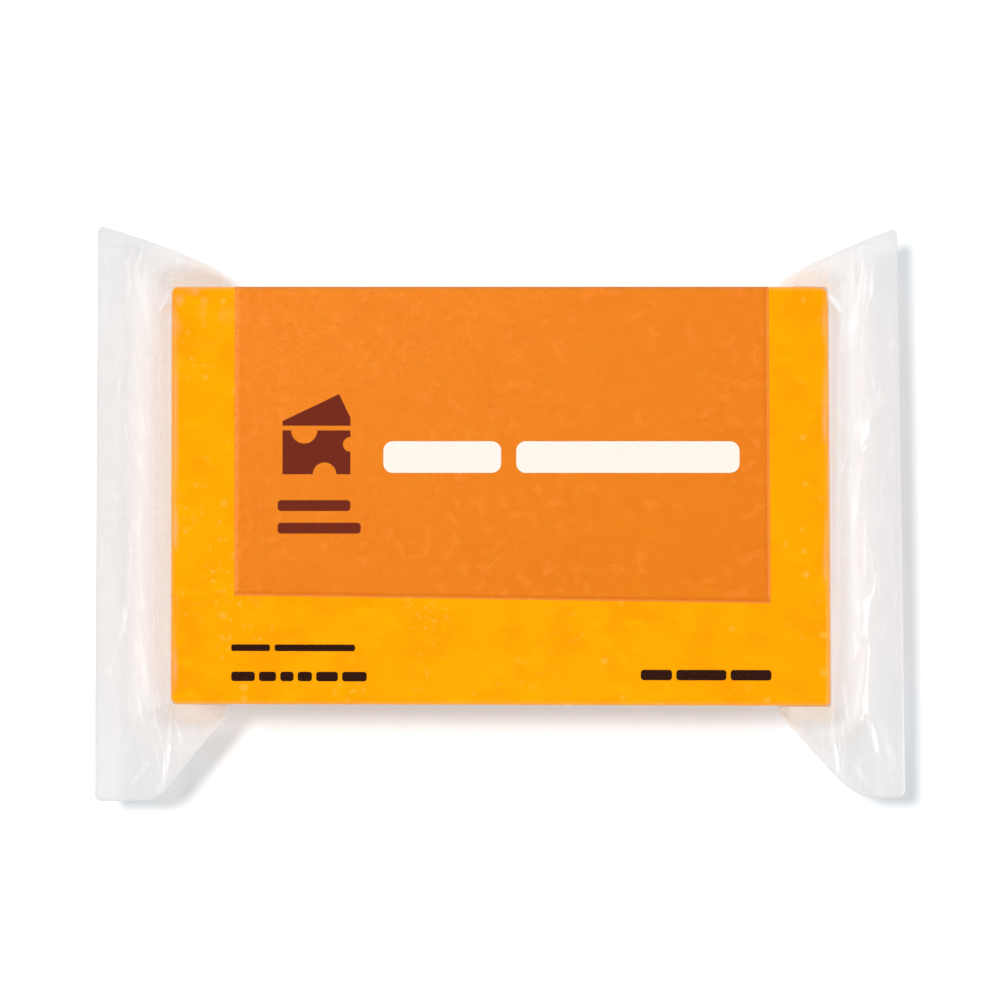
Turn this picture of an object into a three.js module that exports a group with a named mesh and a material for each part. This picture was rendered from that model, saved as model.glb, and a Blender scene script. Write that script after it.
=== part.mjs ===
// A block of cheddar sealed in clear film, lying flat with its shown face up.
// Millimetres, +X along the block, +Y towards its far long side, +Z up.
// The origin is the centre of the block's underside.

import * as THREE from 'three';

// Block, with the film that clings to its faces
const BLOCK_LENGTH = 140;
const BLOCK_WIDTH = 89;
const BLOCK_HEIGHT = 33.5;
const EDGE_RADIUS = 1.4;
const CORNER_RADIUS = 2.0;
const BLUNT_CORNER_RADIUS = 3.0;

// The wire-cut sides aren't quite square: how much further each near corner lies out than its far one
const RIGHT_END_LEAN = 0.6;
const LEFT_END_LEAN = -0.2;
const NEAR_SIDE_LEAN = 0.4;

// Film that stands clear of the block: flat fins with flared ears, at half the block's height
const FIN_THICKNESS = 0.8;
const FIN_HEIGHT = BLOCK_HEIGHT / 2;
const FILM_GAP = 0.3;
const EAR_ROOT_WIDTH = 0.5;
const FILLET_LENGTH = 10;
const FILLET_POWER = 2.2;

// Each end: overhang past the block's end, reach past its long sides, and the ears' edges
const FILM_ENDS = [
  {
    name: 'film_end_left',
    side: -1,
    farOverhang: 16.8,
    nearOverhang: 17.2,
    farReach: 13.8,
    nearReach: 21.5,
    earInset: 13.3,
    farBow: 1.6,
    kneeOverhang: 3.9,
    kneeRounding: 7.0,
    tipRounding: 1.2,
  },
  {
    name: 'film_end_right',
    side: 1,
    farOverhang: 15.9,
    nearOverhang: 16.9,
    farReach: 13.3,
    nearReach: 20.4,
    earInset: 12.2,
    farBow: 0.8,
    kneeOverhang: 6.0,
    kneeRounding: 5.5,
    tipRounding: 1.6,
  },
];

// Fineness of the curved surfaces
const CORNER_STEPS = 5;
const EDGE_STEPS = 4;
const EAR_STEPS = 14;
const FIN_STEPS = 12;
const FILLET_STEPS = 8;
const FILLET_CROWDING = 1.6;

const CHEESE_COLOUR = '#fea903';
const FILM_COLOUR = '#f3eeec';

// Corners of the block's plan, anticlockwise from the far right one.
function blockCorners() {
  const halfLength = BLOCK_LENGTH / 2;
  const halfWidth = BLOCK_WIDTH / 2;
  return {
    farRight: new THREE.Vector2(halfLength - RIGHT_END_LEAN / 2, halfWidth),
    farLeft: new THREE.Vector2(-halfLength + LEFT_END_LEAN / 2, halfWidth),
    nearLeft: new THREE.Vector2(-halfLength - LEFT_END_LEAN / 2, -halfWidth + NEAR_SIDE_LEAN / 2),
    nearRight: new THREE.Vector2(halfLength + RIGHT_END_LEAN / 2, -halfWidth - NEAR_SIDE_LEAN / 2),
  };
}

// The point at a given distance from one point towards another.
function stepTowards(from, to, distance) {
  return from.clone().add(to.clone().sub(from).setLength(distance));
}

// A rounded corner between the sides that come from one point and go on to another.
function roundedCorner(before, corner, after, radius) {
  return new THREE.QuadraticBezierCurve(
    stepTowards(corner, before, radius),
    corner,
    stepTowards(corner, after, radius),
  );
}

// Closed plan of the block: four straight sides and four rounded corners.
function blockPlan() {
  const { farRight, farLeft, nearLeft, nearRight } = blockCorners();
  const corners = [farRight, farLeft, nearLeft, nearRight];
  const plan = new THREE.Shape();
  corners.forEach((corner, index) => {
    const before = corners.at(index - 1);
    const after = corners[(index + 1) % corners.length];
    const radius = corner === farRight ? BLUNT_CORNER_RADIUS : CORNER_RADIUS;
    const arc = roundedCorner(before, corner, after, radius);
    if (index === 0) {
      plan.moveTo(arc.v0.x, arc.v0.y);
    } else {
      plan.lineTo(arc.v0.x, arc.v0.y);
    }
    plan.quadraticCurveTo(arc.v1.x, arc.v1.y, arc.v2.x, arc.v2.y);
  });
  plan.closePath();
  return plan;
}

// The block: its plan carried up to its height, with all edges rounded.
function cheeseBlock() {
  const geometry = new THREE.ExtrudeGeometry(blockPlan(), {
    depth: BLOCK_HEIGHT - 2 * EDGE_RADIUS,
    curveSegments: CORNER_STEPS,
    bevelEnabled: true,
    bevelThickness: EDGE_RADIUS,
    bevelSize: EDGE_RADIUS,
    bevelOffset: -EDGE_RADIUS,
    bevelSegments: EDGE_STEPS,
  });
  geometry.translate(0, 0, EDGE_RADIUS);
  return geometry;
}

// Evenly spaced points along curves that follow each other.
function pointsAlong(curves, steps) {
  const path = new THREE.CurvePath();
  curves.forEach((curve) => path.add(curve));
  return path.getSpacedPoints(steps);
}

// Joins stretches of points into one row, without repeating the points that they share.
function joinStretches(stretches) {
  return stretches.flatMap((points, index) => (index === 0 ? points : points.slice(1)));
}

// Inner edge of a film end, just clear of the block: far side, round the end, near side.
function innerEdge(end) {
  const corners = blockCorners();
  const offset = new THREE.Vector2(end.side * FILM_GAP, FILM_GAP);
  const far = (end.side > 0 ? corners.farRight : corners.farLeft).clone().add(offset);
  const near = (end.side > 0 ? corners.nearRight : corners.nearLeft).clone();
  near.add(new THREE.Vector2(offset.x, -offset.y));
  const rootX = end.side * (BLOCK_LENGTH / 2 - end.earInset);
  const farRoot = new THREE.Vector2(rootX, far.y);
  const nearRoot = new THREE.Vector2(rootX, near.y);
  const farRadius = end.side > 0 ? BLUNT_CORNER_RADIUS : CORNER_RADIUS;
  const farArc = roundedCorner(farRoot, far, near, farRadius);
  const nearArc = roundedCorner(far, near, nearRoot, CORNER_RADIUS);
  return joinStretches([
    pointsAlong([new THREE.LineCurve(farRoot, farArc.v0)], EAR_STEPS),
    pointsAlong([farArc], CORNER_STEPS),
    pointsAlong([new THREE.LineCurve(farArc.v2, nearArc.v0)], FIN_STEPS),
    pointsAlong([nearArc], CORNER_STEPS),
    pointsAlong([new THREE.LineCurve(nearArc.v2, nearRoot)], EAR_STEPS),
  ]);
}

// Outer edge of a film end: the bowed far ear, the cut edge of the fin, and the kneed near ear.
function outerEdge(end) {
  const halfLength = BLOCK_LENGTH / 2;
  const halfWidth = BLOCK_WIDTH / 2;
  const rootX = end.side * (halfLength - end.earInset);
  const rootY = halfWidth + FILM_GAP + EAR_ROOT_WIDTH;
  const farRoot = new THREE.Vector2(rootX, rootY);
  const farTip = new THREE.Vector2(end.side * (halfLength + end.farOverhang), halfWidth + end.farReach);
  const nearTip = new THREE.Vector2(end.side * (halfLength + end.nearOverhang), -halfWidth - end.nearReach);
  const knee = new THREE.Vector2(end.side * (halfLength + end.kneeOverhang), nearTip.y);
  const nearRoot = new THREE.Vector2(rootX, -rootY);

  const farArc = roundedCorner(farRoot, farTip, nearTip, end.tipRounding);
  const nearArc = roundedCorner(farTip, nearTip, knee, end.tipRounding);
  const kneeArc = roundedCorner(nearTip, knee, nearRoot, end.kneeRounding);
  const farMiddle = farRoot.clone().lerp(farArc.v0, 0.5);
  const farBow = new THREE.Vector2(farMiddle.x, farMiddle.y + 2 * end.farBow);
  return joinStretches([
    pointsAlong([new THREE.QuadraticBezierCurve(farRoot, farBow, farArc.v0)], EAR_STEPS),
    pointsAlong([farArc], CORNER_STEPS),
    pointsAlong([new THREE.LineCurve(farArc.v2, nearArc.v0)], FIN_STEPS),
    pointsAlong([nearArc], CORNER_STEPS),
    pointsAlong(
      [
        new THREE.LineCurve(nearArc.v2, kneeArc.v0),
        kneeArc,
        new THREE.LineCurve(kneeArc.v2, nearRoot),
      ],
      EAR_STEPS,
    ),
  ]);
}

// Half the thickness of the film end at a distance from the block, in a strip of a given width.
// It falls in a hollow curve from the block's edge to the flat fin, sooner where the strip is narrow.
function halfThickness(distance, width) {
  const thick = BLOCK_HEIGHT / 2 - EDGE_RADIUS;
  const thin = FIN_THICKNESS / 2;
  const reach = Math.min(width, FILLET_LENGTH);
  const left = Math.max(0, 1 - distance / reach);
  return thin + (thick - thin) * left ** FILLET_POWER;
}

// Film end: at each station a section from the inner to the outer edge, with a top and an underside,
// and neighbouring sections joined by quads. The stations run so that the faces point out.
function filmEnd(end) {
  let stations = innerEdge(end).map((point, index) => ({ inner: point, index }));
  const outer = outerEdge(end);
  if (end.side < 0) {
    stations = stations.reverse();
  }

  const positions = [];
  stations.forEach(({ inner, index }) => {
    const width = inner.distanceTo(outer[index]);
    const section = [];
    for (let step = 0; step <= FILLET_STEPS; step += 1) {
      const share = (step / FILLET_STEPS) ** FILLET_CROWDING;
      const point = inner.clone().lerp(outer[index], share);
      section.push({ point, half: halfThickness(share * width, width) });
    }
    section.forEach(({ point, half }) => positions.push(point.x, point.y, FIN_HEIGHT + half));
    section.reverse();
    section.forEach(({ point, half }) => positions.push(point.x, point.y, FIN_HEIGHT - half));
  });

  const ring = 2 * (FILLET_STEPS + 1);
  const indices = [];
  const addQuad = (a, b, c, d) => indices.push(a, b, c, a, c, d);
  for (let station = 0; station + 1 < stations.length; station += 1) {
    for (let corner = 0; corner < ring; corner += 1) {
      const here = station * ring;
      const next = here + ring;
      const after = (corner + 1) % ring;
      addQuad(here + corner, next + corner, next + after, here + after);
    }
  }
  const last = (stations.length - 1) * ring;
  for (let step = 0; step < FILLET_STEPS; step += 1) {
    const opposite = ring - 1 - step;
    addQuad(step, step + 1, opposite - 1, opposite);
    addQuad(last + opposite, last + opposite - 1, last + step + 1, last + step);
  }

  const geometry = new THREE.BufferGeometry();
  geometry.setAttribute('position', new THREE.Float32BufferAttribute(positions, 3));
  geometry.setIndex(indices);
  geometry.computeVertexNormals();
  return geometry;
}

function addPiece(group, name, geometry, look) {
  const piece = new THREE.Mesh(geometry, new THREE.MeshStandardMaterial(look));
  piece.name = name;
  group.add(piece);
}

const pack = new THREE.Group();
addPiece(pack, 'cheese_block', cheeseBlock(), {
  color: CHEESE_COLOUR,
  roughness: 0.4,
  metalness: 0,
});
FILM_ENDS.forEach((end) => {
  addPiece(pack, end.name, filmEnd(end), {
    color: FILM_COLOUR,
    roughness: 0.25,
    metalness: 0,
    transparent: true,
    opacity: 0.5,
  });
});

export default pack;
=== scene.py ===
"""Looks of a block of cheddar sealed in clear film, dressed over its solids in one shared frame."""

import logging
from dataclasses import dataclass
from enum import Enum

import bpy
import numpy as np
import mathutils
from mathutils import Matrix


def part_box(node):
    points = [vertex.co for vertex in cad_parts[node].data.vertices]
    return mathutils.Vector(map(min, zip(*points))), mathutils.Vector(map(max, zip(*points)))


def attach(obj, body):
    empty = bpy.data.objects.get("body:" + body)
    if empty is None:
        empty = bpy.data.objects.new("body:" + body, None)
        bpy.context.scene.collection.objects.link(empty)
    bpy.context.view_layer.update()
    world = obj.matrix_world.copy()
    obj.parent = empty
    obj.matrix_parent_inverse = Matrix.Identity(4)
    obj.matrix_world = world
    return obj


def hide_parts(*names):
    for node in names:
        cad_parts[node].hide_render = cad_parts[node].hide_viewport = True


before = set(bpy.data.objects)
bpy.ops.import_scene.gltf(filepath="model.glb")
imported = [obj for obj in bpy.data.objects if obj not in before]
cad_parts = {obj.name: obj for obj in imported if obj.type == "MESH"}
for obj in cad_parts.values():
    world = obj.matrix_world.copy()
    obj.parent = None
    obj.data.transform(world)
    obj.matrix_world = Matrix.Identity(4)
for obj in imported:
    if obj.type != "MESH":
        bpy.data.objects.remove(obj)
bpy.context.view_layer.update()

Array = np.ndarray
Colour = tuple[float, float, float]
Vector = tuple[float, float, float]
Socket = bpy.types.NodeSocket
Material = bpy.types.Material
Piece = bpy.types.Object

MM = 0.001
BODY = "root"
QUARTER_TURN = np.pi / 2
EVEN: Vector = (1.0, 1.0, 1.0)

# How far inside the film's outer face each layer of the pack lies, in millimetres
PANEL_DEPTH = 0.05
MARK_DEPTH = 0.03
CHEESE_DEPTH = 0.07
INK_THICKNESS = 0.01

# Lattice noise repeats after this many cells, and points that agree to these digits are one
NOISE_CELLS = 64
WELD_DIGITS = 5

log = logging.getLogger("cheddar_pack")


class Sheet(Enum):
    """The two layers of the film tube, by the sign of their outward Z."""

    UPPER = 1
    LOWER = -1


@dataclass(frozen=True)
class Ramp:
    """An eased slope: 0 up to its start, and its top from its end on, which may lie below the start."""

    start: float
    end: float
    top: float = 1.0

    def of(self, value: Array) -> Array:
        """Its height, top * (3t^2 - 2t^3) of the share t of the way from start to end.

        Args:
            value: Values to ease.

        Returns:
            The height at each value.
        """
        share = np.clip((value - self.start) / (self.end - self.start), 0.0, 1.0)
        return self.top * (share * share * (3.0 - 2.0 * share))


@dataclass(frozen=True)
class SoftLine:
    """A soft line at a distance: a bell curve round its place."""

    place: float
    width: float
    top: float = 1.0

    def of(self, value: Array) -> Array:
        """Its height, top * exp(-((value - place) / width)^2)."""
        return self.top * np.exp(-(((value - self.place) / self.width) ** 2))


def soft_minimum(first: Array, second: float, rounding: float) -> Array:
    """The smaller of two values, with the kink between them rounded off by a parabola.

    Args:
        first: Values to limit.
        second: The limit.
        rounding: Difference of the values within which the kink is rounded.

    Returns:
        The rounded minimum.
    """
    share = np.clip(0.5 + 0.5 * (second - first) / rounding, 0.0, 1.0)
    return second * (1.0 - share) + first * share - rounding * share * (1.0 - share)


def lattice_noise(x: Array, y: Array, cell: float, seed: int) -> Array:
    """Smooth noise from -1 to 1: random values on a square lattice, eased between its corners.

    Args:
        x: First coordinate of each point.
        y: Second coordinate of each point.
        cell: Spacing of the lattice.
        seed: Seed of the lattice's random values.

    Returns:
        The noise at each point.
    """
    table = np.random.default_rng(seed).uniform(-1.0, 1.0, (NOISE_CELLS, NOISE_CELLS))
    column = np.floor(x / cell).astype(int)
    row = np.floor(y / cell).astype(int)
    ease = Ramp(0.0, 1.0)
    across = ease.of(x / cell - column)
    up = ease.of(y / cell - row)
    left, right = column % NOISE_CELLS, (column + 1) % NOISE_CELLS
    below, above = row % NOISE_CELLS, (row + 1) % NOISE_CELLS
    low = table[left, below] * (1 - across) + table[right, below] * across
    high = table[left, above] * (1 - across) + table[right, above] * across
    return low * (1 - up) + high * up


@dataclass(frozen=True)
class Ripple:
    """Lattice noise over the pack, drawn out along Y and shifted to a stretch of its own."""

    cell: float
    stretch: float
    shift: float
    seed: int
    top: float = 1.0

    def of(self, x: Array, y: Array, layer: int = 0) -> Array:
        """Its height, top * noise(x + shift, y / stretch + shift), with the layer added to its seed."""
        noise = lattice_noise(x + self.shift, y / self.stretch + self.shift, self.cell, self.seed + layer)
        return self.top * noise


def grid_faces(rows: int, columns: int, closed: bool = False) -> Array:
    """Quads between neighbouring points of a grid that is stored row by row.

    Args:
        rows: Number of rows.
        columns: Number of points in a row.
        closed: Whether each row's last point joins its first.

    Returns:
        Four point numbers for each quad.
    """
    row = np.arange(rows - 1)[:, None]
    column = np.arange(columns if closed else columns - 1)[None, :]
    after = (column + 1) % columns
    corners = [row * columns + column, row * columns + after]
    corners += [(row + 1) * columns + after, (row + 1) * columns + column]
    return np.stack(corners, axis=-1).reshape(-1, 4)


def turned_out(points: Array, faces: Array) -> Array:
    """Faces of a closed mesh, all turned round if they point inwards.

    The sign of the sum of p0 . (p1 x p2) over the faces' first three corners, and over the other
    half of each quad, is the sign of the volume that the faces enclose.

    Args:
        points: Points of the mesh.
        faces: Quads of the mesh.

    Returns:
        The quads, pointing out.
    """
    a, b, c, d = (points[faces[:, k]] for k in range(4))
    first_half = np.einsum("ij,ij->i", a, np.cross(b, c)).sum()
    other_half = np.einsum("ij,ij->i", a, np.cross(c, d)).sum()
    return faces if first_half + other_half > 0 else faces[:, ::-1]


def make_piece(
    name: str, points: Array, faces: list[list[int]], values: dict[str, Array] | None = None
) -> Piece:
    """A smooth-shaded piece in the scene, with its place in its mesh.

    Args:
        name: Name of the piece.
        points: Points in millimetres.
        faces: Lists of point numbers.
        values: Named numbers for each point, for the materials.

    Returns:
        The new object.
    """
    mesh = bpy.data.meshes.new(name)
    mesh.from_pydata((points * MM).tolist(), [], faces)
    for key, numbers in (values or {}).items():
        layer = mesh.attributes.new(key, "FLOAT", "POINT")
        layer.data.foreach_set("value", np.asarray(numbers, np.float32).ravel())
    mesh.shade_smooth()
    piece = bpy.data.objects.new(name, mesh)
    bpy.context.scene.collection.objects.link(piece)
    return piece


def finish_piece(piece: Piece, material: Material) -> None:
    """Gives a piece its material, and lets it ride on the pack.

    Args:
        piece: The piece to finish.
        material: Its material.
    """
    piece.data.materials.append(material)
    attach(piece, BODY)


@dataclass(frozen=True)
class Clouds:
    """Cloudy noise in a material: patches of about one size in millimetres, shown as a ramp gives."""

    size: float
    detail: float
    shown: Ramp
    stretch: Vector = EVEN


class Shader:
    """A material's nodes, added one at a time round one Principled shader."""

    def __init__(self, name: str) -> None:
        """Starts a material with only its output and its shader.

        Args:
            name: Name of the material.
        """
        self.material = bpy.data.materials.new(name)
        self.material.use_nodes = True
        self.tree = self.material.node_tree
        self.surface = self.tree.nodes["Principled BSDF"]
        self.places: dict[Vector, Socket] = {}
        self.noises: dict[Clouds, Socket] = {}

    def node(self, kind: str, inputs: dict, **settings: object) -> bpy.types.Node:
        """Adds a node.

        Args:
            kind: Blender's name for the kind of node.
            inputs: Values or sockets, by input name or number.
            settings: Properties of the node.

        Returns:
            The new node.
        """
        node = self.tree.nodes.new(kind)
        for key, value in settings.items():
            setattr(node, key, value)
        for key, value in inputs.items():
            self.put(node.inputs[key], value)
        return node

    def put(self, socket: Socket, value: object) -> None:
        """Sets a socket's own value, or links another socket to it.

        Args:
            socket: The input to fill.
            value: A value or another node's output.
        """
        if isinstance(value, bpy.types.NodeSocket):
            self.tree.links.new(value, socket)
        else:
            socket.default_value = value

    def set(self, **inputs: object) -> None:
        """Sets inputs of the shader, whose names have spaces for underscores."""
        for key, value in inputs.items():
            self.put(self.surface.inputs[key.replace("_", " ")], value)

    def place(self, stretch: Vector = EVEN) -> Socket:
        """The point on the piece in millimetres, times a factor along each axis.

        Args:
            stretch: The factors.

        Returns:
            The point, made once for each set of factors.
        """
        if stretch not in self.places:
            where = self.node("ShaderNodeTexCoord", {}).outputs["Object"]
            scale = [factor / MM for factor in stretch]
            mapping = self.node("ShaderNodeMapping", {"Vector": where, "Scale": scale})
            self.places[stretch] = mapping.outputs["Vector"]
        return self.places[stretch]

    def value(self, name: str) -> Socket:
        """The piece's own named number."""
        return self.node("ShaderNodeAttribute", {}, attribute_name=name).outputs["Fac"]

    def noise(self, clouds: Clouds) -> Socket:
        """Cloudy noise from 0 to 1, before its ramp.

        Args:
            clouds: Its pattern.

        Returns:
            The noise, made once for each pattern.
        """
        if clouds not in self.noises:
            scale = 1.0 / clouds.size
            inputs = {"Vector": self.place(clouds.stretch), "Scale": scale, "Detail": clouds.detail}
            self.noises[clouds] = self.node("ShaderNodeTexNoise", inputs).outputs["Fac"]
        return self.noises[clouds]

    def patches(self, clouds: Clouds) -> Socket:
        """Where cloudy noise shows, from 0 to its ramp's top."""
        return self.ease(self.noise(clouds), clouds.shown)

    def ease(self, value: Socket, ramp: Ramp) -> Socket:
        """A ramp's height at a value."""
        inputs = {"Value": value, "From Min": ramp.start, "From Max": ramp.end, "To Max": ramp.top}
        return self.node("ShaderNodeMapRange", inputs, interpolation_type="SMOOTHSTEP").outputs["Result"]

    def math(self, operation: str, first: object, second: object, limit: bool = False) -> Socket:
        """One sum on two numbers, limited to 0 and 1 on request."""
        node = self.node("ShaderNodeMath", {0: first, 1: second}, operation=operation, use_clamp=limit)
        return node.outputs["Value"]

    def mix(self, share: Socket, first: object, second: object) -> Socket:
        """A colour between two others.

        Args:
            share: Share of the second colour.
            first: A colour or a socket.
            second: A colour or a socket.

        Returns:
            The mixed colour.
        """
        ends = [(*end, 1.0) if isinstance(end, tuple) else end for end in (first, second)]
        node = self.node("ShaderNodeMix", {0: share, 6: ends[0], 7: ends[1]}, data_type="RGBA")
        return node.outputs[2]

    def bump(self, height: Socket, strength: float, depth: float) -> None:
        """Tilts the surface by a height of a given depth in millimetres."""
        inputs = {"Height": height, "Strength": strength, "Distance": depth * MM}
        self.set(Normal=self.node("ShaderNodeBump", inputs).outputs["Normal"])


@dataclass(frozen=True)
class CheddarFinish:
    """Moist orange cheddar: cloudy, wire-cut in fine streaks, deeper to the right, with pale flecks."""

    body: Colour = (0.87, 0.332, 0.0003)
    deep: Colour = (0.86, 0.292, 0.0003)
    light: Colour = (0.87, 0.358, 0.0006)
    fleck: Colour = (0.88, 0.400, 0.034)
    clouds: Clouds = Clouds(9.0, 5.0, Ramp(0.34, 0.58))
    drifts: Clouds = Clouds(4.0, 6.0, Ramp(0.48, 0.70, 0.9), (0.6, 1.0, 1.0))
    streaks: Clouds = Clouds(0.7, 2.0, Ramp(0.56, 0.78, 0.25), (0.06, 1.0, 1.0))
    grain: Clouds = Clouds(0.45, 3.0, Ramp(0.50, 0.75, 0.45))
    to_right: Ramp = Ramp(30.0, 75.0, 0.35)
    specks: Clouds = Clouds(1.5, 4.0, Ramp(0.57, 0.70, 0.75))
    speck_patches: Clouds = Clouds(13.0, 2.0, Ramp(0.42, 0.62))
    speck_run: Ramp = Ramp(45.0, -25.0)
    fleck_cells_per_mm: float = 0.26
    fleck_shakes_per_mm: float = 1.6
    fleck_reach: Ramp = Ramp(0.32, 1.0, 0.29)
    fleck_rim: Ramp = Ramp(0.0, 0.18, 0.7)

    def material(self) -> Material:
        """Makes the material.

        Returns:
            The cheddar material.
        """
        shader = Shader("cheddar")
        colour = shader.mix(shader.patches(self.clouds), self.deep, self.body)
        layers = ((self.drifts, self.light), (self.streaks, self.deep), (self.grain, self.light))
        for clouds, tone in layers:
            colour = shader.mix(shader.patches(clouds), colour, tone)
        along = shader.node("ShaderNodeSeparateXYZ", {"Vector": shader.place()}).outputs["X"]
        colour = shader.mix(shader.ease(along, self.to_right), colour, self.deep)
        for share in (self.speck_share(shader, along), self.fleck_share(shader)):
            colour = shader.mix(share, colour, self.fleck)
        shader.set(Base_Color=colour, Roughness=0.42, Specular_IOR_Level=0.1)
        shader.set(Coat_Weight=0.4, Coat_Roughness=0.08)
        shader.bump(shader.noise(self.streaks), strength=0.25, depth=0.12)
        return shader.material

    def speck_share(self, shader: Shader, along: Socket) -> Socket:
        """Ragged pale specks: the peaks of a fine noise, kept only inside the patches of a broad one.

        Args:
            shader: Nodes to add to.
            along: X of the point on the piece, in millimetres.

        Returns:
            How pale the point is, from 0 to 1.
        """
        run = shader.ease(along, self.speck_run)
        patches = shader.math("MULTIPLY", shader.patches(self.speck_patches), run)
        return shader.math("MULTIPLY", shader.patches(self.specks), patches)

    def fleck_share(self, shader: Shader) -> Socket:
        """Round pale flecks: a few random cells have a soft spot of random size round their centre.

        Args:
            shader: Nodes to add to.

        Returns:
            How pale the point is, from 0 to 1.
        """
        place = shader.place()
        shaken = {"Vector": place, "Scale": self.fleck_shakes_per_mm}
        shake = shader.node("ShaderNodeTexNoise", shaken).outputs["Color"]
        moved = shader.node("ShaderNodeVectorMath", {0: place, 1: shake}, operation="ADD").outputs["Vector"]
        cells = shader.node("ShaderNodeTexVoronoi", {"Vector": moved, "Scale": self.fleck_cells_per_mm})
        chance = shader.node("ShaderNodeSeparateColor", {"Color": cells.outputs["Color"]}).outputs["Red"]
        reach = shader.ease(chance, self.fleck_reach)
        depth = shader.math("SUBTRACT", reach, cells.outputs["Distance"])
        return shader.ease(depth, self.fleck_rim)


@dataclass(frozen=True)
class FilmFinish:
    """Clear film with a slight milky haze, smeared glints and short fine creases, painted in as highlights.

    Each point of the film gives its own haze, the haze that a slanted view adds, its milkiness with
    painted light mixed in, its painted orange glow beside the cheese, and its slack.
    """

    tint: Colour = (0.74, 0.732, 0.732)
    # White of the milky film, also used for painted light that lifts shade and whitens creases
    milk_and_painted_light: Colour = (0.86, 0.853, 0.85)
    # White of the painted highlights: glints, soft sheen and crease lines
    glint: Colour = (0.99, 0.99, 0.99)
    # Orange of the painted glow: the cheese reflected in the film beside it
    painted_glow: Colour = (0.98, 0.58, 0.22)
    sways_per_mm: float = 0.045
    sway: Vector = (5.0, 12.0, 0.0)
    cells_per_mm: Vector = (0.28, 0.035, 1.0)
    smears_per_mm: Vector = (0.36, 0.075, 1.0)
    bent: Ramp = Ramp(0.46, 0.62)
    glints: Ramp = Ramp(0.67, 0.80, 0.16)
    # Soft sheen: a faint painted highlight where the smeared noise rises
    soft: Ramp = Ramp(0.40, 0.66, 0.03)
    creases: Ramp = Ramp(0.07, 0.0, 0.07)
    folds: Ramp = Ramp(0.0, 0.30)
    glint_gain: float = 2.0

    def material(self) -> Material:
        """Makes the material.

        Returns:
            The film material.
        """
        shader = Shader("film")
        facets, smears = self.patterns(shader)
        slack = shader.value("slack")
        # Painted highlights: glints at the smeared noise's peaks, soft sheen on its rise, and crease lines
        bent, glints, soft = (
            shader.math("MULTIPLY", shader.ease(smears, ramp), slack)
            for ramp in (self.bent, self.glints, self.soft)
        )
        lines = shader.math("MULTIPLY", shader.ease(facets, self.creases), bent)
        lines = shader.math("ADD", shader.math("ADD", lines, soft), glints)
        facing = shader.node("ShaderNodeLayerWeight", {"Blend": 0.5}).outputs["Facing"]
        slanted = shader.math("MULTIPLY", facing, shader.value("edge_on"))
        haze = shader.math("ADD", shader.value("haze"), slanted)
        haze = shader.math("ADD", haze, lines, limit=True)
        # Milky white, partly painted light that lifts shade and whitens creases
        colour = shader.mix(shader.value("milk_and_painted_light"), self.tint, self.milk_and_painted_light)
        # Painted highlights whiten the colour towards the glint white, as they raise the haze
        colour = shader.mix(shader.math("MULTIPLY", lines, self.glint_gain, limit=True), colour, self.glint)
        # Painted glow: the cheese's orange reflected in the film beside it
        colour = shader.mix(shader.value("painted_glow"), colour, self.painted_glow)
        shader.set(Base_Color=colour, Roughness=0.18, IOR=1.7, Alpha=haze)
        folds = shader.math("MULTIPLY", shader.ease(facets, self.folds), bent)
        shader.bump(folds, strength=0.30, depth=0.25)
        return shader.material

    def patterns(self, shader: Shader) -> tuple[Socket, Socket]:
        """Two patterns drawn out along Y, on places that a broad noise has swayed.

        Args:
            shader: Nodes to add to.

        Returns:
            Distance to the edges of flat cells, and smeary noise from 0 to 1.
        """
        place = shader.place()
        broad = {"Vector": place, "Scale": self.sways_per_mm, "Detail": 0.0}
        drift = shader.node("ShaderNodeTexNoise", broad, noise_dimensions="2D").outputs["Color"]
        pulled = {0: drift, 1: self.sway, 2: place}
        swayed = shader.node("ShaderNodeVectorMath", pulled, operation="MULTIPLY_ADD").outputs["Vector"]
        cells, streaks = (
            shader.node("ShaderNodeMapping", {"Vector": swayed, "Scale": scale}).outputs["Vector"]
            for scale in (self.cells_per_mm, self.smears_per_mm)
        )
        facets = shader.node(
            "ShaderNodeTexVoronoi",
            {"Vector": cells, "Scale": 1.0},
            feature="DISTANCE_TO_EDGE",
            voronoi_dimensions="2D",
        )
        clouds = {"Vector": streaks, "Scale": 1.0, "Detail": 2.0}
        smears = shader.node("ShaderNodeTexNoise", clouds, noise_dimensions="2D")
        return facets.outputs["Distance"], smears.outputs["Fac"]


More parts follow.
